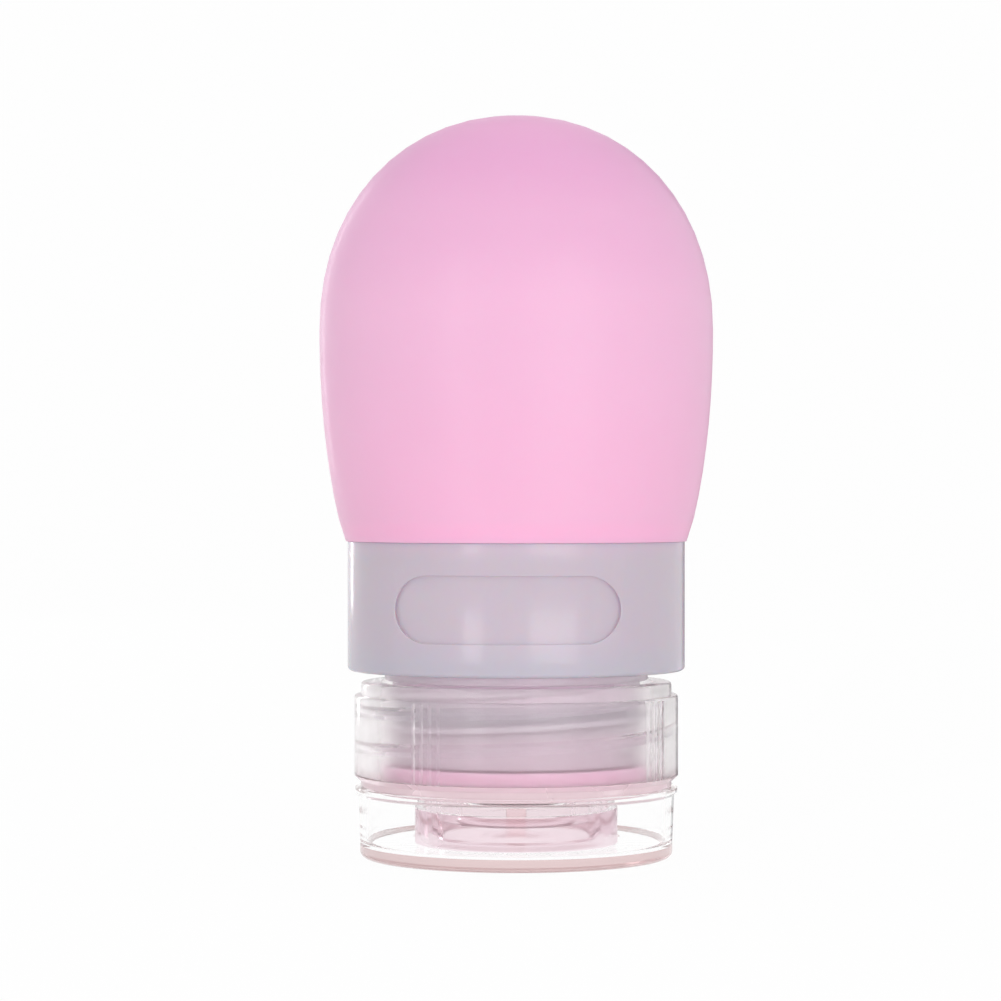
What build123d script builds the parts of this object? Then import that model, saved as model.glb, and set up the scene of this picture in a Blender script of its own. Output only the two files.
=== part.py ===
from build123d import *
import math
import os

# Travel squeeze bottle that stands on its flip-top screw cap, in millimetres.
# Z points up, the origin is the middle of the lid's flat bottom, and the front faces -Y.
# From the floor up: flip lid, screw cap with spout and slit valve, a rigid collar with a
# threaded neck and a turning window sleeve, and a soft oval silicone body whose neck runs
# down through the collar and folds over its end as the cap's seal.

# Soft body
body_side_bulge = 3.03
body_depth_bulge = 0.03
dome_height = 24.5
swell_height = 24.1
body_wall = 2.2
body_neck_wall = 2.0
body_mouth_radius = 10.2
body_shoulder_fillet = 1.6
lip_thickness = 1.4
lip_edge_fillet = 0.5
dome_power = 2.12
dome_steps = 9

# Collar with threaded neck and drum
neck_wall = 1.9
thread_height = 0.9
thread_clearance = 0.5
neck_bead_thickness = 0.8
neck_bead_below_sleeve = 0.3
drum_wall = 1.4
drum_gap = 1.5
collar_web = 1.6
snap_bead_height = 0.3
snap_bead_width = 1.2
snap_bead_below_top = 3.2

# Turning window sleeve
sleeve_height = 14.7
sleeve_wall = 1.32
sleeve_lip_thickness = 1.2
sleeve_lip_reach = 1.5
sleeve_bottom_fillet = 0.5
sleeve_top_fillet = 0.3
window_width = 24.9
window_height = 7.5
window_below_top = 7.3
window_turn = -4.0
window_depth = 0.4

# Screw cap
cap_height = 12.5
cap_wall = 2.2
cap_end_wall = 1.7
cap_edge_fillet = 0.35
cap_below_sleeve = 1.3
deck_depth = 0.7
grip_height = 9.75
grip_above_bottom = 1.3
grip_stand_out = 0.75
grip_edge_fillet = 0.3
grip_bottom_chamfer = 0.6
rib_groups = 4
ribs_in_group = 4
rib_group_turn = -33.0
rib_pitch = 1.1
rib_radius = 0.3
rib_stand_out = 0.18
spout_wall = 1.25
spout_length = 5.5
spout_lead_in = 0.4
flow_radius = 6.0

# Slit valve and its retainer ring
valve_thickness = 1.2
valve_membrane = 0.7
valve_seat_width = 2.6
valve_membrane_inset = 0.6
valve_side_clearance = 0.3
slit_length = 6.4
slit_width = 0.15
retainer_height = 2.4
retainer_step = 0.4
retainer_edge = 0.3

# Flip lid
lid_stand_out = 0.3
lid_height = 8.0
lid_floor = 1.5
lid_wall = 0.9
lid_draft = 0.2
lid_bottom_fillet = 0.75
rim_bead_stand_out = 0.35
rim_bead_height = 0.5
plug_ring_gap = 0.55
plug_ring_wall = 1.2
plug_ring_height = 3.9
plug_ring_lead_in = 0.3
plug_pin_radius = 1.15

# Lid hinge
hinge_behind_lid = 1.15
hinge_below_rim = 0.6
hinge_barrel_radius = 1.1
hinge_pin_radius = 0.6
knuckle_width = 5.6
ear_width = 1.6
ear_height = 3.2
hinge_relief_width = 12.0
pin_reach_share = 0.88

# Clearances
parting_gap = 0.2
deck_clearance = 0.2
seat_gap = 0.05
running_gap = 0.2
lip_gap = 0.2
retainer_fit = 0.08
hinge_pin_fit = 0.06
pin_to_valve_gap = 0.3
overrun = 2.0

# The body swells above the collar: (share of the height, share of the swell)
swell_shares = [(0.0, 0.0), (0.10, 0.26), (0.29, 0.55), (0.57, 0.81), (1.0, 1.0)]

# Heights, from the floor up
cap_shoulder = lid_height + parting_gap
cap_bottom = cap_shoulder - deck_depth
cap_inside = cap_bottom + cap_end_wall
cap_top = cap_bottom + cap_height
lip_bottom = cap_inside + lip_gap
lip_top = lip_bottom + lip_thickness
neck_bottom = lip_top + seat_gap
sleeve_bottom = cap_top + cap_below_sleeve
sleeve_top = sleeve_bottom + sleeve_height
collar_top = sleeve_top - seat_gap
body_foot = collar_top + seat_gap
widest_height = body_foot + swell_height
spout_end = cap_bottom - spout_length
valve_top = cap_bottom - seat_gap
valve_bottom = valve_top - valve_thickness
retainer_top = valve_bottom - seat_gap
hinge_height = lid_height - hinge_below_rim

# Radii, from the mouth outwards
body_neck_radius = body_mouth_radius + body_neck_wall
neck_bore = body_neck_radius + seat_gap
neck_root_radius = neck_bore + neck_wall
thread_radius = neck_root_radius + thread_height
drum_inner_radius = thread_radius + drum_gap
drum_radius = drum_inner_radius + drum_wall
sleeve_bore = drum_radius + running_gap
sleeve_radius = sleeve_bore + sleeve_wall
cap_bore = thread_radius + thread_clearance
cap_radius = cap_bore + cap_wall
grip_radius = cap_radius + grip_stand_out
spout_bore = flow_radius + valve_seat_width
spout_radius = spout_bore + spout_wall
plug_ring_bore = spout_radius + plug_ring_gap
plug_ring_radius = plug_ring_bore + plug_ring_wall
retainer_bore = flow_radius + retainer_step
lid_radius = cap_radius + lid_stand_out
lid_bore = lid_radius - lid_wall
deck_radius = lid_bore - deck_clearance
hinge_back = lid_radius + hinge_behind_lid


def ring_profile(points):
    """One closed outline in the radius-height plane, turned about Z."""
    outline = Polyline(*[(radius, 0, height) for radius, height in points], close=True)
    return revolve(make_face(outline), Axis.Z)


def tube(outer, inner, low, high):
    """A plain round wall between two heights."""
    return ring_profile([(inner, low), (outer, low), (outer, high), (inner, high)])


def disc(radius, low, high):
    return Pos(0, 0, low) * Cylinder(radius, high - low, align=(Align.CENTER, Align.CENTER, Align.MIN))


def edges_at(solid, radius, height):
    """Round edges of one radius at one height."""
    near = seat_gap / 10
    return [
        edge
        for edge in solid.edges().filter_by(GeomType.CIRCLE)
        if abs(edge.radius - radius) < near and abs(edge.center().Z - height) < near
    ]


def egg(inset):
    """Oval dome over a swelling foot, drawn in by inset on every side."""
    foot = sleeve_radius - inset
    half_width = foot + body_side_bulge
    half_depth = foot + body_depth_bulge
    rise = dome_height - inset
    low = body_foot + inset
    ovals = []
    for height_share, swell_share in swell_shares:
        across = foot + (half_width - foot) * swell_share
        deep = foot + (half_depth - foot) * swell_share
        height = low + (widest_height - low) * height_share
        ovals.append(Pos(0, 0, height) * Ellipse(across, deep))
    for step in range(1, dome_steps):
        angle = math.pi / 2 * step / dome_steps
        shrink = math.cos(angle) ** (2 / dome_power)
        height = widest_height + rise * math.sin(angle) ** (2 / dome_power)
        ovals.append(Pos(0, 0, height) * Ellipse(half_width * shrink, half_depth * shrink))
    tip = Vertex(0, 0, widest_height + rise)
    return loft([*ovals, tip])


def make_bottle_body():
    """Silicone shell with its soft neck and the lip folded over the rigid neck's end."""
    lip = disc(thread_radius, lip_bottom, lip_top)
    lip = fillet(edges_at(lip, thread_radius, lip_bottom), lip_edge_fillet)
    solid = egg(0) + disc(body_neck_radius, lip_top, body_foot + body_wall) + lip
    mouth = disc(body_mouth_radius, lip_bottom - overrun, body_foot + body_wall + overrun)
    solid = solid - egg(body_wall) - mouth
    return fillet(edges_at(solid, body_mouth_radius, body_foot + body_wall), body_shoulder_fillet)


def make_neck_collar():
    """Threaded neck, top web and the drum that the sleeve turns on, one rigid moulding."""
    drum_bottom = sleeve_bottom + sleeve_lip_thickness + running_gap
    web_bottom = collar_top - collar_web
    bead_high = collar_top - snap_bead_below_top
    bead_low = bead_high - snap_bead_width
    bead_peak = drum_radius + snap_bead_height
    neck_bead_top = sleeve_bottom - neck_bead_below_sleeve
    neck_bead_low = neck_bead_top - neck_bead_thickness
    return ring_profile([
        (neck_bore, neck_bottom),
        (neck_root_radius, neck_bottom),
        (neck_root_radius, neck_bead_low),
        (thread_radius, neck_bead_low),
        (thread_radius, neck_bead_top),
        (neck_root_radius, neck_bead_top),
        (neck_root_radius, web_bottom),
        (drum_inner_radius, web_bottom),
        (drum_inner_radius, drum_bottom),
        (drum_radius, drum_bottom),
        (drum_radius, bead_low),
        (bead_peak, (bead_low + bead_high) / 2),
        (drum_radius, bead_high),
        (drum_radius, collar_top),
        (neck_bore, collar_top),
    ])


def make_window_sleeve():
    """Outer ring that snaps on the drum; a thinner, clearer oval in its wall is the window."""
    groove_high = collar_top - snap_bead_below_top + running_gap
    groove_low = groove_high - snap_bead_width - 2 * running_gap
    groove_bottom = sleeve_bore + snap_bead_height
    lip_inner = drum_radius - sleeve_lip_reach
    lip_height = sleeve_bottom + sleeve_lip_thickness
    solid = ring_profile([
        (lip_inner, sleeve_bottom),
        (sleeve_radius, sleeve_bottom),
        (sleeve_radius, sleeve_top),
        (sleeve_bore, sleeve_top),
        (sleeve_bore, groove_high),
        (groove_bottom, (groove_low + groove_high) / 2),
        (sleeve_bore, groove_low),
        (sleeve_bore, lip_height),
        (lip_inner, lip_height),
    ])
    solid = fillet(edges_at(solid, sleeve_radius, sleeve_bottom), sleeve_bottom_fillet)
    solid = fillet(edges_at(solid, sleeve_radius, sleeve_top), sleeve_top_fillet)
    outline = SlotOverall(window_width, window_height)
    facing = Plane(origin=(0, 0, sleeve_top - window_below_top), x_dir=(1, 0, 0), z_dir=(0, -1, 0))
    recess = extrude(facing * outline, sleeve_radius + overrun)
    recess = recess - disc(sleeve_radius - window_depth, sleeve_bottom, sleeve_top)
    return solid - Rot(0, 0, window_turn) * recess


def hinge_side_profile():
    """Side view of one hinge ear: a round eye that runs up into the cap's wall."""
    wall_side = deck_radius - cap_wall / 2
    back = hinge_back + hinge_barrel_radius
    web = Polyline(
        (0, wall_side, cap_bottom),
        (0, hinge_back, cap_bottom),
        (0, back, hinge_height),
        (0, cap_radius, hinge_height + ear_height),
        (0, wall_side, hinge_height + ear_height),
        close=True,
    )
    return make_face(web)


def cylinder_along_x(radius, length, middle):
    return Pos(middle, hinge_back, hinge_height) * Rot(0, 90, 0) * Cylinder(radius, length)


def make_cap_base():
    """Clear screw cap: skirt, grip band, a deck that drops into the lid, spout, hinge ears."""
    grip_low = cap_bottom + grip_above_bottom
    grip_high = grip_low + grip_height
    skirt = ring_profile([
        (flow_radius, cap_bottom),
        (deck_radius, cap_bottom),
        (deck_radius, cap_shoulder),
        (cap_radius, cap_shoulder),
        (cap_radius, cap_top),
        (cap_bore, cap_top),
        (cap_bore, cap_inside),
        (flow_radius, cap_inside),
    ])
    skirt = fillet(edges_at(skirt, deck_radius, cap_bottom), cap_edge_fillet)
    skirt = fillet(edges_at(skirt, cap_radius, cap_top), cap_edge_fillet)
    grip = tube(grip_radius, cap_radius - cap_wall / 2, grip_low, grip_high)
    grip = fillet(edges_at(grip, grip_radius, grip_high), grip_edge_fillet)
    grip = chamfer(edges_at(grip, grip_radius, grip_low), grip_bottom_chamfer)
    spout = tube(spout_radius, spout_bore, spout_end, cap_bottom + cap_end_wall / 2)
    spout = chamfer(edges_at(spout, spout_radius, spout_end), spout_lead_in)
    solid = skirt + grip + spout
    for rib in grip_ribs(grip_low + grip_bottom_chamfer, grip_high - grip_edge_fillet):
        solid = solid + rib
    ear_middle = knuckle_width / 2 + running_gap + ear_width / 2
    for side in (-1, 1):
        middle = side * ear_middle
        web = extrude(Pos(middle, 0, 0) * hinge_side_profile(), ear_width / 2, both=True)
        eye = cylinder_along_x(hinge_barrel_radius, ear_width, middle)
        hole = cylinder_along_x(hinge_pin_radius + hinge_pin_fit, ear_width + overrun, middle)
        solid = solid + web + eye - hole
    return solid


def grip_ribs(low, high):
    """Upright half-round ribs on the grip band, in even groups round the cap."""
    step = math.degrees(rib_pitch / grip_radius)
    rib_middle = grip_radius + rib_stand_out - rib_radius
    ribs = []
    for group in range(rib_groups):
        for place in range(ribs_in_group):
            turn = rib_group_turn + 360 / rib_groups * group + step * (place - (ribs_in_group - 1) / 2)
            bar = Cylinder(rib_radius, high - low)
            ribs.append(Rot(0, 0, turn) * Pos(0, -rib_middle, (low + high) / 2) * bar)
    return ribs


def make_valve():
    """Silicone slit valve: a thick rim round a thin membrane with crossed slits."""
    rim = disc(spout_bore - valve_side_clearance, valve_bottom, valve_top)
    dish = disc(flow_radius - valve_membrane_inset, valve_bottom - overrun, valve_top - valve_membrane)
    slit = Box(slit_length, slit_width, valve_thickness + overrun)
    slits = Pos(0, 0, (valve_bottom + valve_top) / 2) * (slit + Rot(0, 0, 90) * slit)
    return rim - dish - slits


def make_valve_retainer():
    """Plain round ring pressed into the spout under the valve's rim."""
    low = retainer_top - retainer_height
    solid = tube(spout_bore - retainer_fit, retainer_bore, low, retainer_top)
    return chamfer(edges_at(solid, retainer_bore, low), retainer_edge)


def make_flip_lid():
    """Clear lid: flat floor to stand on, outer wall, plug ring, valve pin and hinge knuckle."""
    bead_radius = lid_radius + rim_bead_stand_out
    bead_low = lid_height - rim_bead_height
    foot_radius = lid_radius - lid_draft
    shell = ring_profile([
        (0, 0),
        (foot_radius, 0),
        (lid_radius, bead_low - rim_bead_stand_out),
        (bead_radius, bead_low),
        (bead_radius, lid_height),
        (lid_bore, lid_height),
        (lid_bore, lid_floor),
        (0, lid_floor),
    ])
    shell = fillet(edges_at(shell, foot_radius, 0), lid_bottom_fillet)
    relief_front = hinge_back - hinge_barrel_radius - running_gap
    relief = Box(hinge_relief_width, overrun, 2 * (rim_bead_height + rim_bead_stand_out))
    bead_back = Pos(0, relief_front + overrun / 2, lid_height) * relief
    notch_floor = cap_bottom - parting_gap
    ear_notch = Pos(0, lid_radius - lid_wall / 2, lid_height) * Box(
        hinge_relief_width, 2 * overrun, 2 * (lid_height - notch_floor)
    )
    ring_top = lid_floor + plug_ring_height
    ring = tube(plug_ring_radius, plug_ring_bore, lid_floor / 2, ring_top)
    ring = chamfer(edges_at(ring, plug_ring_bore, ring_top), plug_ring_lead_in)
    pin_top = valve_top - valve_membrane - pin_to_valve_gap
    pin = disc(plug_pin_radius, lid_floor / 2, pin_top)
    pin = fillet(edges_at(pin, plug_pin_radius, pin_top), plug_pin_radius / 2)
    barrel = cylinder_along_x(hinge_barrel_radius, knuckle_width, 0)
    pin_length = knuckle_width + 2 * (running_gap + ear_width * pin_reach_share)
    trunnions = cylinder_along_x(hinge_pin_radius, pin_length, 0)
    arm_front = lid_radius - lid_wall / 2
    arm = Pos(0, (arm_front + hinge_back) / 2, hinge_height - hinge_barrel_radius / 2) * Box(
        knuckle_width, hinge_back - arm_front, hinge_barrel_radius
    )
    return shell - bead_back - ear_notch + ring + pin + arm + barrel + trunnions


makers = {
    "bottle_body": make_bottle_body,
    "neck_collar": make_neck_collar,
    "window_sleeve": make_window_sleeve,
    "cap_base": make_cap_base,
    "slit_valve": make_valve,
    "valve_retainer": make_valve_retainer,
    "flip_lid": make_flip_lid,
}

os.makedirs("parts", exist_ok=True)
for name, make in makers.items():
    export_step(make(), f"parts/{name}.step")
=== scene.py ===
import bpy
import math
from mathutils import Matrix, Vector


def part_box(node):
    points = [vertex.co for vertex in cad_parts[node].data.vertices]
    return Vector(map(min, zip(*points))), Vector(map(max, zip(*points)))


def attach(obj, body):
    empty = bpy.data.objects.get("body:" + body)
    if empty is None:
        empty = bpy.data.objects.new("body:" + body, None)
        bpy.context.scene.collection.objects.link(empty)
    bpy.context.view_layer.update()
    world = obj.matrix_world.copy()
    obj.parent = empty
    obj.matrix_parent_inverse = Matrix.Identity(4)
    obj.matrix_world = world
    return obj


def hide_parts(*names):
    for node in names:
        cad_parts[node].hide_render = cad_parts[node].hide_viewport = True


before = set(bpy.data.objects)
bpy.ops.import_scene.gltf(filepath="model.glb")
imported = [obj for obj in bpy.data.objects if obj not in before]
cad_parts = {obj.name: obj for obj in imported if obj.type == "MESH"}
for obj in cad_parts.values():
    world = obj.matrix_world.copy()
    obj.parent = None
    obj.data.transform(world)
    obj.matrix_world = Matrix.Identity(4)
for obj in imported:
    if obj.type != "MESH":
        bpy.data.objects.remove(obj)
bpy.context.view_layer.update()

MM = 0.001

# Soft body: a moulded silicone shell, oval from above and domed at the top. Its soft neck
# runs down through the collar, and the end is folded outwards over the rigid neck as the
# seal against the cap. The outside is satin, and light glows through the wall.
body_low, body_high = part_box("bottle_body")
collar_low, collar_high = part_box("neck_collar")
sleeve_low, sleeve_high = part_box("window_sleeve")
body_half_width = float(body_high[0])
body_half_depth = float(body_high[1])
body_top = float(body_high[2])
lip_press = 0.17 * MM
lip_bottom = float(body_low[2]) - lip_press
body_foot = float(sleeve_high[2])
foot_radius = float(sleeve_high[0])
widest_height = body_foot + 24.1 * MM
body_wall = 2.2 * MM
mouth_radius = 10.2 * MM
soft_neck_radius = 12.2 * MM
lip_radius = 15.05 * MM
lip_top = lip_bottom + 1.4 * MM
dome_power = 2.12
swell_power = 0.78
swell_loops = 9
dome_loops = 15
round_segments = 128
tip_share = 0.985
silicone_round = 0.08 * MM
weld_gap = 0.001 * MM


def deselect():
    bpy.ops.object.select_all(action="DESELECT")


def pick(piece):
    """Makes one piece the only selected one, and the active one."""
    deselect()
    piece.select_set(True)
    bpy.context.view_layer.objects.active = piece


def weld():
    """In edit mode: merges points that lie in one place and turns all faces outwards."""
    bpy.ops.mesh.select_all(action="SELECT")
    bpy.ops.mesh.remove_doubles(threshold=weld_gap)
    bpy.ops.mesh.normals_make_consistent(inside=False)


def turned(name, loops, segments=round_segments, pole=None, closed=False):
    """A wall drawn up from one circle: each loop is (half width, half depth, height)."""
    deselect()
    wide, deep, height = loops[0]
    bpy.ops.mesh.primitive_circle_add(vertices=segments, radius=1, location=(0, 0, 0))
    piece = bpy.context.object
    piece.name = name
    bpy.ops.object.mode_set(mode="EDIT")
    bpy.ops.transform.resize(value=(wide, deep, 1))
    bpy.ops.transform.translate(value=(0, 0, height))
    for next_wide, next_deep, next_height in loops[1:] + (loops[:1] if closed else []):
        bpy.ops.mesh.extrude_edges_move(
            TRANSFORM_OT_translate={"value": (0, 0, next_height - height)}
        )
        bpy.ops.transform.resize(value=(next_wide / wide, next_deep / deep, 1))
        wide, deep, height = next_wide, next_deep, next_height
    if pole is not None:
        bpy.ops.mesh.extrude_edges_move(
            TRANSFORM_OT_translate={"value": (0, 0, pole - height)}
        )
        bpy.ops.mesh.merge(type="CENTER")
    weld()
    bpy.ops.object.mode_set(mode="OBJECT")
    return piece


def apply_modifier(piece, kind, **settings):
    """Adds one modifier, sets it and applies it."""
    pick(piece)
    modifier = piece.modifiers.new(kind.title(), kind)
    for key, value in settings.items():
        setattr(modifier, key, value)
    bpy.ops.object.modifier_apply(modifier=modifier.name)


def soften_edges(piece, width, segments=3, above=40):
    """Rounds every edge sharper than a given angle, as a mould does."""
    apply_modifier(
        piece, "BEVEL", width=width, segments=segments, limit_method="ANGLE",
        angle_limit=math.radians(above), harden_normals=False,
    )


def smooth(piece, angle=35):
    """Shades a piece smooth, with creases where it turns by more than the angle."""
    pick(piece)
    bpy.ops.object.shade_smooth_by_angle(angle=math.radians(angle))


def join(piece, other):
    pick(piece)
    other.select_set(True)
    bpy.ops.object.join()
    return piece


def egg_loops(inset):
    """Loops of the oval dome from its foot up, drawn in by inset."""
    foot = foot_radius - inset
    half_width = body_half_width - inset
    half_depth = body_half_depth - inset
    low = body_foot + inset
    rise = body_top - inset - widest_height
    loops = []
    for step in range(swell_loops):
        share = step / swell_loops
        swell = math.sin(math.pi / 2 * share ** swell_power)
        loops.append((
            foot + (half_width - foot) * swell,
            foot + (half_depth - foot) * swell,
            low + (widest_height - low) * share,
        ))
    for step in range(dome_loops):
        angle = math.pi / 2 * tip_share * step / (dome_loops - 1)
        shrink = math.cos(angle) ** (2 / dome_power)
        height = widest_height + rise * math.sin(angle) ** (2 / dome_power)
        loops.append((half_width * shrink, half_depth * shrink, height))
    return loops


outside = turned("bottle_shell", [
    (mouth_radius, mouth_radius, lip_bottom),
    (lip_radius, lip_radius, lip_bottom),
    (lip_radius, lip_radius, lip_top),
    (soft_neck_radius, soft_neck_radius, lip_top),
    (soft_neck_radius, soft_neck_radius, body_foot),
    *egg_loops(0),
], pole=body_top)
inside = turned("bottle_inside", [
    (mouth_radius, mouth_radius, lip_bottom),
    (mouth_radius, mouth_radius, body_foot + body_wall),
    *egg_loops(body_wall),
], pole=body_top - body_wall)
bottle = join(outside, inside)
bpy.ops.object.mode_set(mode="EDIT")
weld()
bpy.ops.object.mode_set(mode="OBJECT")
soften_edges(bottle, silicone_round)
smooth(bottle, angle=50)
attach(bottle, "bottle")
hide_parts("bottle_body")


def paint(red, green, blue):
    """An 8-bit colour as a shader's linear colour."""
    linear = []
    for channel in (red, green, blue):
        share = channel / 255
        linear.append(share / 12.92 if share <= 0.04045 else ((share + 0.055) / 1.055) ** 2.4)
    return (*linear, 1.0)


def new_material(name, **sockets):
    """A material with one Principled shader, its plain values set on its own sockets."""
    material = bpy.data.materials.new(name)
    material.use_nodes = True
    shader = material.node_tree.nodes["Principled BSDF"]
    for key, value in sockets.items():
        shader.inputs[key.replace("_", " ")].default_value = value
    return material, material.node_tree, shader


def moulded_grain():
    """Shared effect of a moulded skin: fine grain, uneven gloss, a slight drift of shade."""
    group = bpy.data.node_groups.new("moulded grain", "ShaderNodeTree")
    for label, usual in (("Scale", 900), ("Low", 0.3), ("High", 0.4), ("Drift", 0.01)):
        socket = group.interface.new_socket(
            label, in_out="INPUT", socket_type="NodeSocketFloat"
        )
        socket.default_value = usual
    for label in ("Roughness", "Height", "Shade"):
        group.interface.new_socket(label, in_out="OUTPUT", socket_type="NodeSocketFloat")
    nodes, links = group.nodes, group.links
    inside_in = nodes.new("NodeGroupInput")
    inside_out = nodes.new("NodeGroupOutput")
    place = nodes.new("ShaderNodeTexCoord")
    fine = nodes.new("ShaderNodeTexNoise")
    fine.inputs["Detail"].default_value = 3
    broad = nodes.new("ShaderNodeTexNoise")
    broad.inputs["Detail"].default_value = 2
    broad.inputs["Scale"].default_value = 60
    links.new(place.outputs["Object"], fine.inputs["Vector"])
    links.new(place.outputs["Object"], broad.inputs["Vector"])
    links.new(inside_in.outputs["Scale"], fine.inputs["Scale"])
    links.new(fine.outputs["Fac"], inside_out.inputs["Height"])
    gloss, shade = nodes.new("ShaderNodeMapRange"), nodes.new("ShaderNodeMapRange")
    noise_low, noise_high = 0.3, 0.7
    for spread, output in ((gloss, "Roughness"), (shade, "Shade")):
        spread.inputs["From Min"].default_value = noise_low
        spread.inputs["From Max"].default_value = noise_high
        links.new(broad.outputs["Fac"], spread.inputs["Value"])
        links.new(spread.outputs["Result"], inside_out.inputs[output])
    links.new(inside_in.outputs["Low"], gloss.inputs["To Min"])
    links.new(inside_in.outputs["High"], gloss.inputs["To Max"])
    for operation, socket in (("SUBTRACT", "To Min"), ("ADD", "To Max")):
        limit = nodes.new("ShaderNodeMath")
        limit.operation = operation
        limit.inputs[0].default_value = 1
        links.new(inside_in.outputs["Drift"], limit.inputs[1])
        links.new(limit.outputs["Value"], shade.inputs[socket])
    return group


grain_group = moulded_grain()


def add_grain(tree, shader, scale, low, high, depth):
    """Places the shared grain in a material: uneven gloss and a very shallow bump."""
    grain = tree.nodes.new("ShaderNodeGroup")
    grain.node_tree = grain_group
    grain.inputs["Scale"].default_value = scale
    grain.inputs["Low"].default_value = low
    grain.inputs["High"].default_value = high
    bump = tree.nodes.new("ShaderNodeBump")
    bump.inputs["Distance"].default_value = depth
    bump.inputs["Strength"].default_value = 0.5
    tree.links.new(grain.outputs["Roughness"], shader.inputs["Roughness"])
    tree.links.new(grain.outputs["Height"], bump.inputs["Height"])
    tree.links.new(bump.outputs["Normal"], shader.inputs["Normal"])
    return grain


def paint_on(tree, shader, ramp, grain, drift):
    """Gives the shader a ramp's colour, a little lighter and darker from place to place."""
    grain.inputs["Drift"].default_value = drift
    tone = tree.nodes.new("ShaderNodeHueSaturation")
    tree.links.new(ramp.outputs["Color"], tone.inputs["Color"])
    tree.links.new(grain.outputs["Shade"], tone.inputs["Value"])
    tree.links.new(tone.outputs["Color"], shader.inputs["Base Color"])


def blended_by_height(tree, colours, low, high):
    """A colour ramp up the piece, from Object coordinates: colours are (share, colour)."""
    place = tree.nodes.new("ShaderNodeTexCoord")
    split = tree.nodes.new("ShaderNodeSeparateXYZ")
    spread = tree.nodes.new("ShaderNodeMapRange")
    spread.inputs["From Min"].default_value = low
    spread.inputs["From Max"].default_value = high
    ramp = tree.nodes.new("ShaderNodeValToRGB")
    ramp.color_ramp.interpolation = "EASE"
    while len(ramp.color_ramp.elements) < len(colours):
        ramp.color_ramp.elements.new(0.5)
    for element, (share, colour) in zip(ramp.color_ramp.elements, colours):
        element.position = share
        element.color = colour
    tree.links.new(place.outputs["Object"], split.inputs["Vector"])
    tree.links.new(split.outputs["Z"], spread.inputs["Value"])
    tree.links.new(spread.outputs["Result"], ramp.inputs["Fac"])
    return ramp


silicone, silicone_tree, silicone_shader = new_material(
    "pink silicone", Subsurface_Weight=0.6, Subsurface_Scale=0.002, Coat_Weight=0.12,
    Coat_Roughness=0.2, Specular_IOR_Level=0.4, IOR=1.41,
)
silicone_shader.inputs["Subsurface Radius"].default_value = (1.0, 0.7, 0.85)
# The ramp runs from the lip up to the dome's tip. It is darker at the folded lip. Just above
# the foot it has a painted lighter band against the shade in the seam with the sleeve. It
# also carries painted shade that darkens the dome towards its top, which faces away from the
# lamps.
silicone_tone_and_painted_shade = blended_by_height(silicone_tree, [
    (0.0, paint(217, 172, 196)),
    (0.12, paint(217, 172, 196)),
    (0.355, paint(252, 182, 216)),
    (0.394, paint(240, 183, 214)),
    (0.678, paint(235, 184, 214)),
    (0.82, paint(229, 176, 209)),
    (0.935, paint(225, 167, 205)),
    (1.0, paint(232, 170, 209)),
], lip_bottom, body_top)
silicone_grain = add_grain(
    silicone_tree, silicone_shader, scale=1400, low=0.44, high=0.54, depth=0.02 * MM
)
paint_on(silicone_tree, silicone_shader, silicone_tone_and_painted_shade, silicone_grain, drift=0.012)
bottle.data.materials.append(silicone)

# Collar: one rigid frosted moulding. The threaded neck takes the cap, a web at the top
# carries the soft body, and the drum hanging from the web is what the sleeve turns on.
neck_bore = 12.25
neck_root = 14.15
thread_crest = 15.05
neck_end = float(collar_low[2]) / MM
web_bottom = 34.35
collar_top = float(collar_high[2]) / MM
drum_inner = 16.55
drum_outer = 17.95
drum_lift = 1.4
drum_bottom = float(sleeve_low[2]) / MM + drum_lift
neck_bead_gap = 0.05
neck_bead_tall = 1.05
neck_bead_top = float(sleeve_low[2]) / MM - neck_bead_gap
neck_bead_low = neck_bead_top - neck_bead_tall
collar_round = 0.2
thread_pitch = 4.0
thread_turns = 2.0
thread_start = 12.0
thread_width = 1.5
thread_angle = 40
thread_round = 0.25
thread_segments = 96
thread_root_share = 0.25
thread_flat_share = 0.3
thread_fade = 0.09
thread_tip = 0.02


def round_loop(radius, height):
    """One round loop of a turned wall, given in millimetres."""
    return (radius * MM, radius * MM, height * MM)


def close_holes(piece):
    """Fills the open rims of a wall, such as the middle of a disc or a ridge's two ends."""
    pick(piece)
    bpy.ops.object.mode_set(mode="EDIT")
    weld()
    bpy.ops.mesh.select_all(action="DESELECT")
    bpy.ops.mesh.select_non_manifold()
    bpy.ops.mesh.edge_face_add()
    weld()
    bpy.ops.object.mode_set(mode="OBJECT")


def thread_ridge(name, root, crest, low, turns, width, turn=0):
    """A rounded screw ridge: a small section carried round and up, faded at both ends."""
    deselect()
    bpy.ops.mesh.primitive_plane_add(size=1, location=(0, 0, 0))
    ridge = bpy.context.object
    ridge.name = name
    half = width / 2
    flat = half * thread_flat_share
    inner = root + (root - crest) * thread_root_share
    corners = [(inner, -half), (crest, -flat), (inner, half), (crest, flat)]
    for vertex, (radius, height) in zip(ridge.data.vertices, corners):
        vertex.co = (radius * MM, 0, (low + height) * MM)
    apply_modifier(
        ridge, "SCREW", angle=2 * math.pi * turns, screw_offset=thread_pitch * turns * MM,
        steps=int(thread_segments * turns), render_steps=int(thread_segments * turns),
        axis="Z", use_merge_vertices=False,
    )
    for vertex in ridge.data.vertices:
        x, y, z = vertex.co
        radius = math.hypot(x, y)
        share = (z / MM - low) / (thread_pitch * turns)
        near_end = min(share, 1 - share) / thread_fade
        if near_end < 1:
            drawn = inner * MM + (radius - inner * MM) * max(near_end, thread_tip)
            vertex.co = (x * drawn / radius, y * drawn / radius, z)
    close_holes(ridge)
    bpy.ops.object.mode_set(mode="EDIT")
    bpy.ops.transform.rotate(
        value=math.radians(turn), orient_axis="Z", center_override=(0, 0, 0)
    )
    bpy.ops.object.mode_set(mode="OBJECT")
    return ridge


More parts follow.
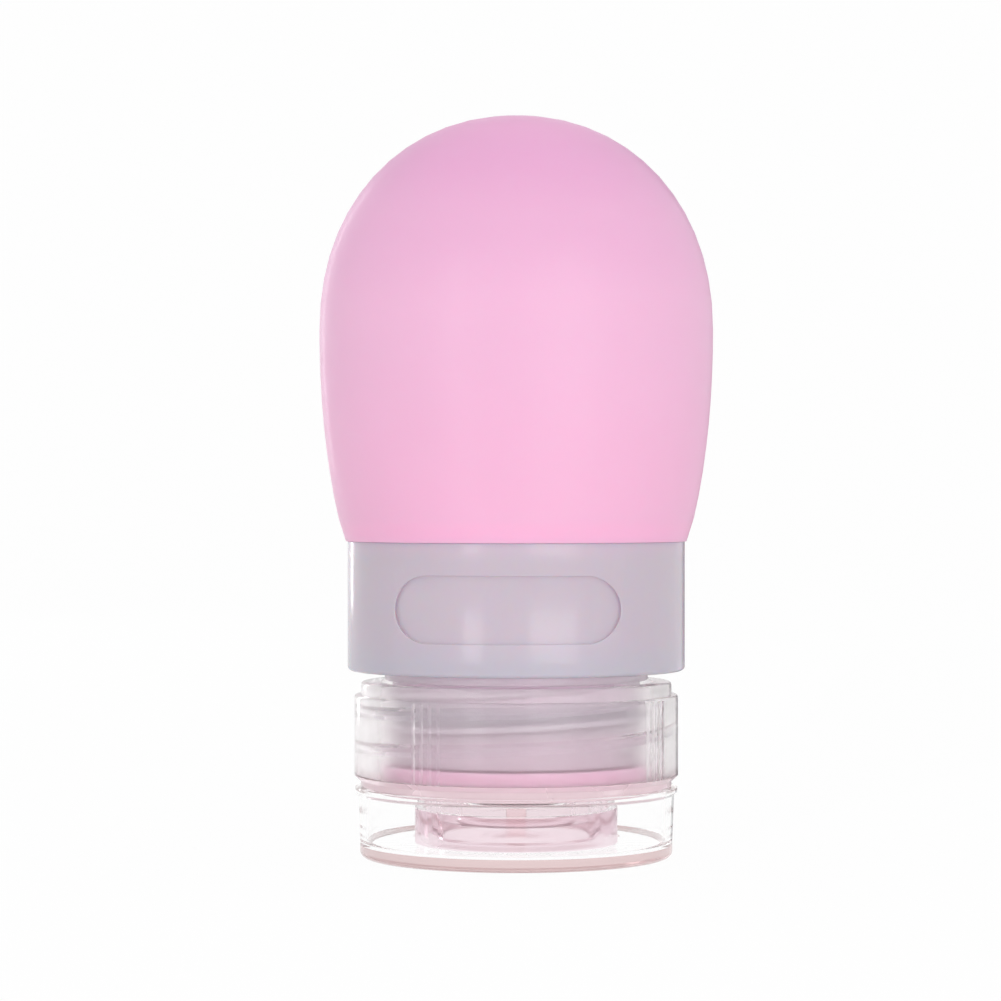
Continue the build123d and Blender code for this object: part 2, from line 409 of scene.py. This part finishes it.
collar = turned("frosted_collar", [
    round_loop(neck_bore, neck_end),
    round_loop(neck_root, neck_end),
    round_loop(neck_root, neck_bead_low),
    round_loop(thread_crest, neck_bead_low),
    round_loop(thread_crest, neck_bead_top),
    round_loop(neck_root, neck_bead_top),
    round_loop(neck_root, web_bottom),
    round_loop(drum_inner, web_bottom),
    round_loop(drum_inner, drum_bottom),
    round_loop(drum_outer, drum_bottom),
    round_loop(drum_outer, collar_top),
    round_loop(neck_bore, collar_top),
], closed=True)
soften_edges(collar, collar_round * MM, segments=2)
smooth(collar)
neck_thread = thread_ridge(
    "neck_thread", neck_root, thread_crest, thread_start, thread_turns, thread_width,
    turn=thread_angle,
)
soften_edges(neck_thread, thread_round * MM, above=20)
smooth(neck_thread, angle=60)


def lit_through(material, passed):
    """Lets the lamps shine through a clear or cloudy piece, so that what is inside is lit."""
    tree = material.node_tree
    shader = tree.nodes["Principled BSDF"]
    rays = tree.nodes.new("ShaderNodeLightPath")
    open_air = tree.nodes.new("ShaderNodeBsdfTransparent")
    open_air.inputs["Color"].default_value = passed
    choose = tree.nodes.new("ShaderNodeMixShader")
    tree.links.new(rays.outputs["Is Shadow Ray"], choose.inputs["Fac"])
    tree.links.new(shader.outputs["BSDF"], choose.inputs[1])
    tree.links.new(open_air.outputs["BSDF"], choose.inputs[2])
    tree.links.new(choose.outputs["Shader"], tree.nodes["Material Output"].inputs["Surface"])


frosted, frosted_tree, frosted_shader = new_material(
    "frosted plastic", Transmission_Weight=0.25, IOR=1.49, Subsurface_Weight=0.8,
    Subsurface_Scale=0.004, Coat_Weight=0.5, Coat_Roughness=0.12,
)
frosted_shader.inputs["Subsurface Radius"].default_value = (1.0, 0.85, 0.92)
# Up the neck the colour is darker where the thread sits inside the cap. At the bead under the
# sleeve comes a painted pink glow and lighter band, which lifts the shade in the gap between
# sleeve and cap. Above that is the drum's plain frosted tone.
frosted_tone_and_painted_glow = blended_by_height(frosted_tree, [
    (0.0, paint(212, 191, 205)),
    (0.12, paint(208, 190, 203)),
    (0.23, paint(186, 177, 188)),
    (0.33, paint(239, 222, 235)),
    (0.38, paint(255, 236, 248)),
    (0.44, paint(255, 236, 248)),
    (0.5, paint(212, 202, 214)),
    (1.0, paint(222, 202, 218)),
], collar_low[2], collar_high[2])
frosted_grain = add_grain(
    frosted_tree, frosted_shader, scale=1100, low=0.38, high=0.5, depth=0.015 * MM
)
paint_on(frosted_tree, frosted_shader, frosted_tone_and_painted_glow, frosted_grain, drift=0.015)
lit_through(frosted, paint(238, 226, 234))
for piece in (collar, neck_thread):
    piece.data.materials.append(frosted)
    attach(piece, "bottle")
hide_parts("neck_collar")

# Window sleeve: a moulded ring of frosted plastic snapped over the drum. It turns by hand,
# so that its oval window, where the wall is thinner and smoother, shows one place on the
# drum at a time.
sleeve_step = 0.2
sleeve_outer = float(sleeve_high[0]) / MM - sleeve_step
sleeve_bore = 18.15
sleeve_bottom = float(sleeve_low[2]) / MM
sleeve_top = float(sleeve_high[2]) / MM
sleeve_lip_inner = 16.45
sleeve_lip_top = sleeve_bottom + 1.2
sleeve_low_round = 0.5
sleeve_top_round = 0.08
window_middle = sleeve_top - 7.3
window_width = 24.9
window_height = 7.5
window_turn = -4.0
window_depth = 0.4
window_segments = 24
sleeve_segments = 160
sleeve_edge_round = 0.18
wall_skin = 0.02
wall_margin = 0.1


def corner_loops(radius, height, size, start, steps=6):
    """Loops round a filleted outer edge, from start degrees over a quarter turn."""
    loops = []
    for step in range(steps + 1):
        angle = math.radians(start + 90 * step / steps)
        loops.append(round_loop(
            radius - size + size * math.cos(angle), height + size * math.sin(angle)
        ))
    return loops


def cut(piece, tool, operation="DIFFERENCE"):
    apply_modifier(piece, "BOOLEAN", object=tool, operation=operation, solver="EXACT")
    bpy.data.objects.remove(tool, do_unlink=True)


def window_cutter():
    """A long bar with round ends, set into the sleeve's front to the window's depth."""
    deselect()
    bpy.ops.mesh.primitive_cylinder_add(
        vertices=2 * window_segments, radius=window_height / 2 * MM,
        depth=2 * sleeve_outer * MM, location=(0, 0, 0),
    )
    cutter = bpy.context.object
    half_straight = (window_width - window_height) / 2 * MM
    for vertex in cutter.data.vertices:
        vertex.co.x += half_straight if vertex.co.x > 0 else -half_straight
    bpy.ops.object.mode_set(mode="EDIT")
    bpy.ops.mesh.select_all(action="SELECT")
    bpy.ops.transform.rotate(value=math.pi / 2, orient_axis="X", center_override=(0, 0, 0))
    bpy.ops.transform.translate(value=(0, -sleeve_outer * MM, window_middle * MM))
    bpy.ops.transform.rotate(
        value=-math.radians(window_turn), orient_axis="Z", center_override=(0, 0, 0)
    )
    bpy.ops.object.mode_set(mode="OBJECT")
    deselect()
    bpy.ops.mesh.primitive_cylinder_add(
        vertices=sleeve_segments, radius=(sleeve_outer - window_depth) * MM,
        depth=sleeve_outer * MM, location=(0, 0, window_middle * MM),
    )
    core = bpy.context.object
    bpy.ops.object.transform_apply(location=True, rotation=True, scale=True)
    cut(cutter, core)
    return cutter


sleeve = turned("window_ring", [
    round_loop(sleeve_lip_inner, sleeve_bottom),
    *corner_loops(sleeve_outer, sleeve_bottom + sleeve_low_round, sleeve_low_round, -90),
    *corner_loops(sleeve_outer, sleeve_top - sleeve_top_round, sleeve_top_round, 0),
    round_loop(sleeve_bore, sleeve_top),
    round_loop(sleeve_bore, sleeve_lip_top),
    round_loop(sleeve_lip_inner, sleeve_lip_top),
], segments=sleeve_segments, closed=True)
cut(sleeve, window_cutter())
soften_edges(sleeve, sleeve_edge_round * MM)
smooth(sleeve, angle=20)
window_low = (window_middle - window_height / 2) * MM
window_high = (window_middle + window_height / 2) * MM


def sleeve_plastic(name, colours, bottom, top, low, high, depth):
    """Frosted plastic of the sleeve, its shade drifting from bottom to top."""
    material, tree, shader = new_material(
        name, Transmission_Weight=0.3, IOR=1.49, Subsurface_Weight=0.4,
        Subsurface_Scale=0.003, Coat_Weight=0.5, Coat_Roughness=0.12,
    )
    ramp = blended_by_height(tree, colours, bottom, top)
    grain = add_grain(tree, shader, scale=1100, low=low, high=high, depth=depth)
    paint_on(tree, shader, ramp, grain, drift=0.015)
    lit_through(material, paint(250, 246, 250))
    return material


sleeve_frost = sleeve_plastic("frosted sleeve plastic", [
    (0.0, paint(205, 202, 214)),
    (0.3, paint(212, 200, 213)),
    (0.85, paint(212, 200, 212)),
    (1.0, paint(222, 200, 216)),
], sleeve_low[2], sleeve_high[2], low=0.38, high=0.5, depth=0.015 * MM)
window_frost = sleeve_plastic("frosted sleeve plastic, window", [
    (0.0, paint(211, 200, 212)),
    (0.1, paint(214, 200, 212)),
    (1.0, paint(215, 201, 213)),
], window_low, window_high, low=0.34, high=0.46, depth=0.01 * MM)


def finish_faces(piece, finishes, choose):
    """Gives each face of a moulding one of its finishes, chosen by its radius and height."""
    for finish in finishes:
        piece.data.materials.append(finish)
    for face in piece.data.polygons:
        x, y, z = (value / MM for value in face.center)
        face.material_index = finishes.index(choose(math.hypot(x, y), z))


def sleeve_finish(radius, height):
    """The bottom of the window is smoother than the rest of the ring."""
    in_wall = sleeve_bore + wall_margin < radius < sleeve_outer - window_depth + wall_skin
    at_window = abs(height - window_middle) < window_height / 2 + wall_margin
    return window_frost if in_wall and at_window else sleeve_frost


finish_faces(sleeve, (sleeve_frost, window_frost), sleeve_finish)
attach(sleeve, "sleeve")
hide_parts("window_sleeve")

# Screw cap: clear moulded plastic. A ribbed grip band stands out round the skirt, the deck
# at its end drops into the lid and carries the spout, and two ears hold the lid's pins.
cap_low, cap_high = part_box("cap_base")
cap_bottom = 7.5
cap_shoulder = 8.2
deck_radius = 16.95
cap_inside = 9.2
cap_top = float(cap_high[2]) / MM
cap_radius = 17.75
cap_bore = 15.55
grip_radius = 18.5
grip_low = 8.8
grip_high = 18.55
grip_bevel = 0.6
spout_radius = 9.85
spout_bore = 8.6
spout_end = float(cap_low[2]) / MM
flow_radius = 6.0
rib_radius = 0.42
rib_stand_out = 0.12
rib_pitch = 1.1
rib_group_turn = -33
hinge_y = 19.2
hinge_z = 7.4
barrel_radius = 1.1
knuckle_width = 5.6
ear_middle = 3.8
ear_width = 1.6
ear_top = 10.6
ear_root = deck_radius - 1.1
pin_hole_radius = 0.66
rim_round = 0.35
band_round = 0.3
spout_chamfer = 0.4
cap_thread_crest = 15.1
cap_thread_start = 11.0
cap_thread_turns = 1.75
cap_thread_width = 1.6
cap_thread_angle = -60
cap_segments = 160
rib_groups = 4
ribs_in_group = 4
near_wall = 0.05


def bar(radius, length, middle, upright=True, segments=24):
    """A round bar, upright or lying along X, as a tool for joining or cutting."""
    deselect()
    turn = (0, 0, 0) if upright else (0, math.pi / 2, 0)
    bpy.ops.mesh.primitive_cylinder_add(
        vertices=segments, radius=radius * MM, depth=length * MM,
        location=[value * MM for value in middle], rotation=turn,
    )
    bpy.ops.object.transform_apply(location=True, rotation=True, scale=True)
    return bpy.context.object


def ear(side):
    """One hinge ear: a slab from the cap's wall out to the round eye."""
    deselect()
    bpy.ops.mesh.primitive_cube_add(size=1, location=(0, 0, 0))
    slab = bpy.context.object
    for vertex in slab.data.vertices:
        out = vertex.co.y > 0
        up = vertex.co.z > 0
        y = (cap_radius if up else hinge_y + barrel_radius) if out else ear_root
        z = ear_top if up else (hinge_z if out else cap_bottom)
        vertex.co = ((side * ear_middle + vertex.co.x * ear_width) * MM, y * MM, z * MM)
    return slab


cap = turned("clear_cap", [
    round_loop(spout_bore, spout_end),
    round_loop(spout_radius - spout_chamfer, spout_end),
    round_loop(spout_radius, spout_end + spout_chamfer),
    round_loop(spout_radius, cap_bottom),
    *corner_loops(deck_radius, cap_bottom + rim_round, rim_round, -90, 3),
    round_loop(deck_radius, cap_shoulder),
    round_loop(cap_radius, cap_shoulder),
    round_loop(cap_radius, grip_low),
    round_loop(grip_radius - grip_bevel, grip_low),
    round_loop(grip_radius, grip_low + grip_bevel),
    *corner_loops(grip_radius, grip_high - band_round, band_round, 0, 3),
    round_loop(cap_radius, grip_high),
    *corner_loops(cap_radius, cap_top - rim_round, rim_round, 0, 3),
    round_loop(cap_bore, cap_top),
    round_loop(cap_bore, cap_inside),
    round_loop(flow_radius, cap_inside),
    round_loop(flow_radius, cap_bottom),
    round_loop(spout_bore, cap_bottom),
], segments=cap_segments, closed=True)
rib_step = math.degrees(rib_pitch / grip_radius)
rib_low = grip_low + grip_bevel
rib_high = grip_high - band_round
rib_out = grip_radius + rib_stand_out - rib_radius
for group in range(rib_groups):
    for place in range(ribs_in_group):
        from_middle = rib_step * (place - (ribs_in_group - 1) / 2)
        turn = math.radians(rib_group_turn + 360 / rib_groups * group + from_middle)
        spot = (rib_out * math.sin(turn), -rib_out * math.cos(turn), (rib_low + rib_high) / 2)
        cut(cap, bar(rib_radius, rib_high - rib_low, spot, segments=16), "UNION")
for side in (-1, 1):
    eye_middle = (side * ear_middle, hinge_y, hinge_z)
    cut(cap, ear(side), "UNION")
    cut(cap, bar(barrel_radius, ear_width, eye_middle, upright=False), "UNION")
    cut(cap, bar(pin_hole_radius, 2 * ear_width, eye_middle, upright=False))
cap_thread = thread_ridge(
    "cap_thread", cap_bore, cap_thread_crest, cap_thread_start, cap_thread_turns,
    cap_thread_width, turn=cap_thread_angle,
)
soften_edges(cap_thread, thread_round * MM, above=20)
cut(cap, cap_thread, "UNION")
smooth(cap, angle=30)


def plastic(name, colour, clearness, low, high, bend):
    """Clear or milky moulded plastic; its roughness lies between low and high."""
    material, tree, shader = new_material(
        name, Transmission_Weight=clearness, IOR=bend, Base_Color=colour,
    )
    add_grain(tree, shader, scale=500, low=low, high=high, depth=0.004 * MM)
    lit_through(material, paint(250, 246, 248))
    return material


cap_clear = plastic(
    "clear cap plastic", paint(253, 251, 251),
    clearness=0.93, low=0.1, high=0.16, bend=1.24,
)
cap_blurred = plastic(
    "clear cap plastic, unpolished", paint(253, 250, 251),
    clearness=0.9, low=0.3, high=0.4, bend=1.24,
)
cap_milky = plastic(
    "clear cap plastic, thick", paint(249, 227, 233),
    clearness=0.32, low=0.2, high=0.3, bend=1.28,
)
spout_clear = plastic(
    "clear cap plastic, spout", paint(255, 254, 254),
    clearness=1.0, low=0.1, high=0.16, bend=1.07,
)
cap_worn = plastic(
    "clear cap plastic, thread", paint(252, 248, 250),
    clearness=0.9, low=0.4, high=0.5, bend=1.14,
)


def cap_finish(radius, height):
    """Clear outside and on spout and ears, milky in the thick deck, dull on the thread."""
    if height < cap_bottom - near_wall and radius < spout_radius + near_wall:
        return spout_clear
    past_ribs = radius > grip_radius + rib_stand_out
    if past_ribs or (radius > cap_radius and height < grip_low - near_wall):
        return cap_clear
    if height < cap_inside + near_wall:
        return cap_milky
    if radius < cap_bore - near_wall or radius > grip_radius + wall_skin:
        return cap_worn
    return cap_blurred if radius < cap_bore + near_wall else cap_clear


finish_faces(cap, (cap_clear, cap_blurred, cap_milky, cap_worn, spout_clear), cap_finish)
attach(cap, "cap")
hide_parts("cap_base")

# Slit valve: a soft silicone disc seated against the end wall. Crossed slits in its thin
# middle open when the body is squeezed, and close again by themselves.
valve_low, valve_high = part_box("slit_valve")
valve_bottom = float(valve_low[2]) / MM
valve_top = float(valve_high[2]) / MM
valve_radius = 8.3
valve_cup_radius = 5.4
valve_middle_radius = 5.0
valve_middle_wall = 0.7
valve_segments = 96
slit_long = 6.4
slit_wide = 0.15
slit_deep = 3.0
valve_round = 0.12


def block(size, middle):
    """A plain block, as a tool for cutting or for a short arm."""
    deselect()
    bpy.ops.mesh.primitive_cube_add(size=1, location=(0, 0, 0))
    tool = bpy.context.object
    tool.scale = [value * MM for value in size]
    tool.location = [value * MM for value in middle]
    bpy.ops.object.transform_apply(location=True, rotation=True, scale=True)
    return tool


valve = turned("valve_disc", [
    round_loop(valve_middle_radius, valve_top - valve_middle_wall),
    round_loop(valve_cup_radius, valve_bottom),
    round_loop(valve_radius, valve_bottom),
    round_loop(valve_radius, valve_top),
    round_loop(valve_middle_radius, valve_top),
], segments=valve_segments)
close_holes(valve)
for slit in ((slit_long, slit_wide, slit_deep), (slit_wide, slit_long, slit_deep)):
    cut(valve, block(slit, (0, 0, valve_top)))
soften_edges(valve, valve_round * MM, segments=2)
smooth(valve)
valve_rubber, valve_tree, valve_shader = new_material(
    "valve silicone", Transmission_Weight=0.97, IOR=1.06,
)
valve_shader.inputs["Base Color"].default_value = paint(255, 251, 252)
add_grain(valve_tree, valve_shader, scale=1400, low=0.3, high=0.42, depth=0.01 * MM)
valve.data.materials.append(valve_rubber)
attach(valve, "cap")
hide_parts("slit_valve")

# Valve retainer: a round ring of clear moulded plastic, pressed into the spout from below,
# where it holds the valve's thick rim against the end wall.
retainer_low, retainer_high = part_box("valve_retainer")
ring_low = float(retainer_low[2]) / MM
ring_high = float(retainer_high[2]) / MM
retainer_radius = 8.52
retainer_bore = 6.4
retainer_chamfer = 0.3
retainer_round = 0.1
retainer = turned("retainer_ring", [
    round_loop(retainer_bore + retainer_chamfer, ring_low),
    round_loop(retainer_radius, ring_low),
    round_loop(retainer_radius, ring_high),
    round_loop(retainer_bore, ring_high),
    round_loop(retainer_bore, ring_low + retainer_chamfer),
], segments=valve_segments, closed=True)
soften_edges(retainer, retainer_round * MM, segments=2)
smooth(retainer)
retainer.data.materials.append(spout_clear)
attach(retainer, "cap_carrier")
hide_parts("valve_retainer")

# Flip lid: clear moulded plastic, the foot that the bottle stands on. A thin bead runs
# round its rim, and inside stand the plug ring and the pin that keeps the valve shut. The
# pins moulded on its knuckle snap between the cap's ears.
lid_radius = 18.05
lid_foot_radius = 17.85
lid_bore = 17.15
lid_height = 8.0
lid_floor = 1.5
bead_radius = 18.4
bead_low = 7.5
notch_floor = 7.3
notch_width = 12.0
ring_outer = 11.6
ring_inner = 10.4
ring_top = 5.4
ring_chamfer = 0.3
pin_radius = 1.15
pin_top = 6.45
pin_round = 0.55
lid_fillet = 0.75
lid_inner_fillet = 0.8
foot_middle = 0.5
bead_slope = 0.35
relief_height = 0.85
relief_gap = 0.2
hinge_pin_radius = 0.6
hinge_pin_length = 8.8
lid_round = 0.12
lid_segments = 160
lid = turned("clear_lid", [
    round_loop(foot_middle, 0),
    *corner_loops(lid_foot_radius, lid_fillet, lid_fillet, -90),
    round_loop(lid_foot_radius, lid_floor),
    round_loop(lid_radius, bead_low - bead_slope),
    round_loop(bead_radius, bead_low),
    round_loop(bead_radius, lid_height),
    round_loop(lid_bore, lid_height),
    *reversed(corner_loops(
        lid_bore, lid_floor + lid_inner_fillet, lid_inner_fillet, -90, 4
    )),
    round_loop(ring_outer, lid_floor),
    round_loop(ring_outer, ring_top),
    round_loop(ring_inner + ring_chamfer, ring_top),
    round_loop(ring_inner, ring_top - ring_chamfer),
    round_loop(ring_inner, lid_floor),
    round_loop(pin_radius, lid_floor),
    *corner_loops(pin_radius, pin_top - pin_round, pin_round, 0, 4),
], segments=lid_segments)
close_holes(lid)
relief_deep = hinge_y - lid_bore
relief_front = hinge_y - barrel_radius - relief_gap
arm_front = (lid_radius + lid_bore) / 2
cut(lid, block(
    (notch_width, relief_deep, 2 * relief_height),
    (0, relief_front + relief_deep / 2, lid_height),
))
cut(lid, block(
    (notch_width, 2 * relief_deep, 2 * (lid_height - notch_floor)),
    (0, arm_front, lid_height),
))
cut(lid, block(
    (knuckle_width, hinge_y - arm_front, barrel_radius),
    (0, (arm_front + hinge_y) / 2, hinge_z - barrel_radius / 2),
), "UNION")
cut(lid, bar(barrel_radius, knuckle_width, (0, hinge_y, hinge_z), upright=False), "UNION")
cut(lid, bar(
    hinge_pin_radius, hinge_pin_length, (0, hinge_y, hinge_z), upright=False
), "UNION")
soften_edges(lid, lid_round * MM, segments=2, above=50)
smooth(lid, angle=30)
lid_clear = plastic(
    "clear lid plastic", paint(255, 255, 255),
    clearness=1.0, low=0.02, high=0.05, bend=1.13,
)
# The plug ring's outside carries a painted pink reflection of the body in its tint.
lid_plug_pink_reflection = plastic(
    "clear lid plastic, plug with painted reflection", paint(235, 211, 221),
    clearness=0.88, low=0.24, high=0.32, bend=1.06,
)
# The foot's edge carries a painted warm reflection in its tint.
lid_foot_warm_reflection = plastic(
    "clear lid plastic, foot with painted reflection", paint(218, 188, 188),
    clearness=0.5, low=0.14, high=0.2, bend=1.4,
)
lid_pin = plastic(
    "clear lid plastic, pin", paint(253, 241, 241),
    clearness=1.0, low=0.04, high=0.08, bend=1.03,
)


def lid_finish(radius, height):
    """A painted warm reflection round the edge of the foot, a painted pink reflection on the
    outside of the plug ring, and clear elsewhere.
    """
    if height < lid_floor and radius > lid_foot_radius - lid_fillet:
        return lid_foot_warm_reflection
    if height < lid_floor + near_wall or radius > ring_outer + wall_margin:
        return lid_clear
    if radius < pin_radius + wall_margin:
        return lid_pin
    return lid_plug_pink_reflection if radius > ring_outer - wall_margin else spout_clear


finish_faces(lid, (lid_clear, lid_plug_pink_reflection, lid_foot_warm_reflection, lid_pin, spout_clear), lid_finish)
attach(lid, "lid")
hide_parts("flip_lid")

# Studio: a white paper sweep that curves up behind the bottle, three soft lamps, and a dark
# sheet on the floor to the right behind the bottle: painted shadow of the bottle, which shows
# in reflections alone and draws the grey edge lines.
sweep_half = 0.9
sweep_bend = 0.4
sweep_rise = 0.9
sweep_steps = 12


def select_back_edge(plane):
    """Selects only the edge of a plane that lies at the back, to draw it on from there."""
    for vertex in plane.data.vertices:
        vertex.select = vertex.co.y > 0
    for edge in plane.data.edges:
        edge.select = all(plane.data.vertices[index].select for index in edge.vertices)
    for face in plane.data.polygons:
        face.select = False


deselect()
bpy.ops.mesh.primitive_plane_add(size=2 * sweep_half, location=(0, 0, 0))
sweep = bpy.context.object
sweep.name = "floor_sweep"
select_back_edge(sweep)
bpy.ops.object.mode_set(mode="EDIT")
bpy.ops.mesh.select_mode(type="VERT")
bend_moves = []
for step in range(sweep_steps):
    before, after = (math.pi / 2 * (step + late) / sweep_steps for late in (0, 1))
    bend_moves.append((
        0,
        sweep_bend * (math.sin(after) - math.sin(before)),
        sweep_bend * (math.cos(before) - math.cos(after)),
    ))
for move in [*bend_moves, (0, 0, sweep_rise)]:
    bpy.ops.mesh.extrude_edges_move(TRANSFORM_OT_translate={"value": move})
bpy.ops.object.mode_set(mode="OBJECT")
smooth(sweep)

# The sheet is painted shadow: it lies just above the floor where the bottle's own shadow
# falls, and rises at its far end.
shadow_sheet_lift = 0.0005
shadow_sheet_front = 0.01
shadow_sheet_back = 0.5
shadow_sheet_tall = 0.3
shadow_sheet_near_turn = math.radians(9)
shadow_sheet_far_turn = math.radians(24)
bottle_side = 0.0185
deselect()
bpy.ops.mesh.primitive_plane_add(size=1, location=(0, 0, 0))
shadow_sheet = bpy.context.object
shadow_sheet.name = "painted_floor_shadow"
select_back_edge(shadow_sheet)
for vertex in shadow_sheet.data.vertices:
    y = shadow_sheet_back if vertex.co.y > 0 else shadow_sheet_front
    turn = shadow_sheet_far_turn if vertex.co.x > 0 else shadow_sheet_near_turn
    vertex.co = (bottle_side + y * math.tan(turn), y, shadow_sheet_lift)
bpy.ops.object.mode_set(mode="EDIT")
bpy.ops.mesh.extrude_edges_move(TRANSFORM_OT_translate={"value": (0, 0, shadow_sheet_tall)})
bpy.ops.object.mode_set(mode="OBJECT")
shadow_sheet.visible_camera = False
shadow_sheet.visible_diffuse = False
shadow_sheet.visible_shadow = False
shadow_sheet.visible_transmission = False
shadow_sheet_paint, _, shadow_sheet_shader = new_material("painted floor shadow", Roughness=0.9)
shadow_sheet_shader.inputs["Base Color"].default_value = (0.07, 0.07, 0.08, 1)
shadow_sheet.data.materials.append(shadow_sheet_paint)


def seen_by_eye(nodes, links):
    """1 where the camera looks, also by a reflection or through glass, and 0 elsewhere."""
    rays = nodes.new("ShaderNodeLightPath")
    seen = rays.outputs["Is Camera Ray"]
    for way in ("Is Glossy Ray", "Is Transmission Ray"):
        either = nodes.new("ShaderNodeMath")
        either.operation = "MAXIMUM"
        links.new(seen, either.inputs[0])
        links.new(rays.outputs[way], either.inputs[1])
        seen = either.outputs["Value"]
    return seen


# The paper is white to the eye, and an ordinary pale surface to all other light.
paper_white = 0.96
paper, paper_tree, paper_shader = new_material("white sweep", Roughness=0.9)
paper_shader.inputs["Base Color"].default_value = (0.9, 0.9, 0.9, 1)
paper_nodes, paper_links = paper_tree.nodes, paper_tree.links
paper_share = paper_nodes.new("ShaderNodeMath")
paper_share.operation = "MULTIPLY"
paper_share.inputs[1].default_value = paper_white
paper_links.new(seen_by_eye(paper_nodes, paper_links), paper_share.inputs[0])
paper_glow = paper_nodes.new("ShaderNodeEmission")
paper_glow.inputs["Color"].default_value = (1, 1, 1, 1)
paper_mix = paper_nodes.new("ShaderNodeMixShader")
paper_links.new(paper_share.outputs["Value"], paper_mix.inputs["Fac"])
paper_links.new(paper_shader.outputs["BSDF"], paper_mix.inputs[1])
paper_links.new(paper_glow.outputs["Emission"], paper_mix.inputs[2])
paper_out = paper_nodes["Material Output"]
paper_links.new(paper_mix.outputs["Shader"], paper_out.inputs["Surface"])
sweep.data.materials.append(paper)

# The room is white to the eye too, and lights the bottle a little less than that.
room_light = 0.8
world = bpy.data.worlds.new("studio")
bpy.context.scene.world = world
world.use_nodes = True
world_nodes, world_links = world.node_tree.nodes, world.node_tree.links
lit_room = world_nodes["Background"]
seen_room = world_nodes.new("ShaderNodeBackground")
for room, strength in ((lit_room, room_light), (seen_room, 1.0)):
    room.inputs["Color"].default_value = (1, 1, 1, 1)
    room.inputs["Strength"].default_value = strength
world_mix = world_nodes.new("ShaderNodeMixShader")
world_links.new(seen_by_eye(world_nodes, world_links), world_mix.inputs["Fac"])
world_links.new(lit_room.outputs["Background"], world_mix.inputs[1])
world_links.new(seen_room.outputs["Background"], world_mix.inputs[2])
world_links.new(world_mix.outputs["Shader"], world_nodes["World Output"].inputs["Surface"])

lamp_height = 0.08
lamp_aim = 0.045


def soft_lamp(name, azimuth, distance, width, tall, power):
    """A soft box at an angle round the bottle, aimed at its middle."""
    turn = math.radians(azimuth)
    deselect()
    bpy.ops.object.light_add(type="AREA", location=(
        distance * math.sin(turn), -distance * math.cos(turn), lamp_height,
    ))
    lamp = bpy.context.object
    lamp.name = name
    lamp.data.shape = "RECTANGLE"
    lamp.data.size = width
    lamp.data.size_y = tall
    lamp.data.energy = power
    rise = math.atan2(lamp_height - lamp_aim, distance)
    lamp.rotation_euler = (math.pi / 2 - rise, 0, turn)


soft_lamp("front_right", azimuth=25, distance=0.9, width=0.53, tall=0.9, power=3.6)
soft_lamp("front_left", azimuth=-30, distance=0.9, width=0.2, tall=0.9, power=1.8)
soft_lamp("rim_left", azimuth=-150, distance=0.8, width=0.08, tall=0.7, power=0.9)

# Camera: level with the middle of the bottle and straight on to its front, a little over
# a third of a metre away, with the long lens that small things are photographed with.
view_distance = 0.3607
view_height = 0.04065
view_side = -0.0018
view_lens = 113.3
bpy.ops.object.camera_add(
    location=(view_side, -view_distance, view_height), rotation=(math.pi / 2, 0, 0)
)
camera = bpy.context.object
camera.data.sensor_width = 36
camera.data.lens = view_lens
camera.data.clip_start = 0.01
bpy.context.scene.camera = camera
bpy.context.scene.view_settings.view_transform = "Standard"
light_paths = bpy.context.scene.cycles
light_paths.max_bounces = 24
light_paths.transmission_bounces = 24
light_paths.glossy_bounces = 16
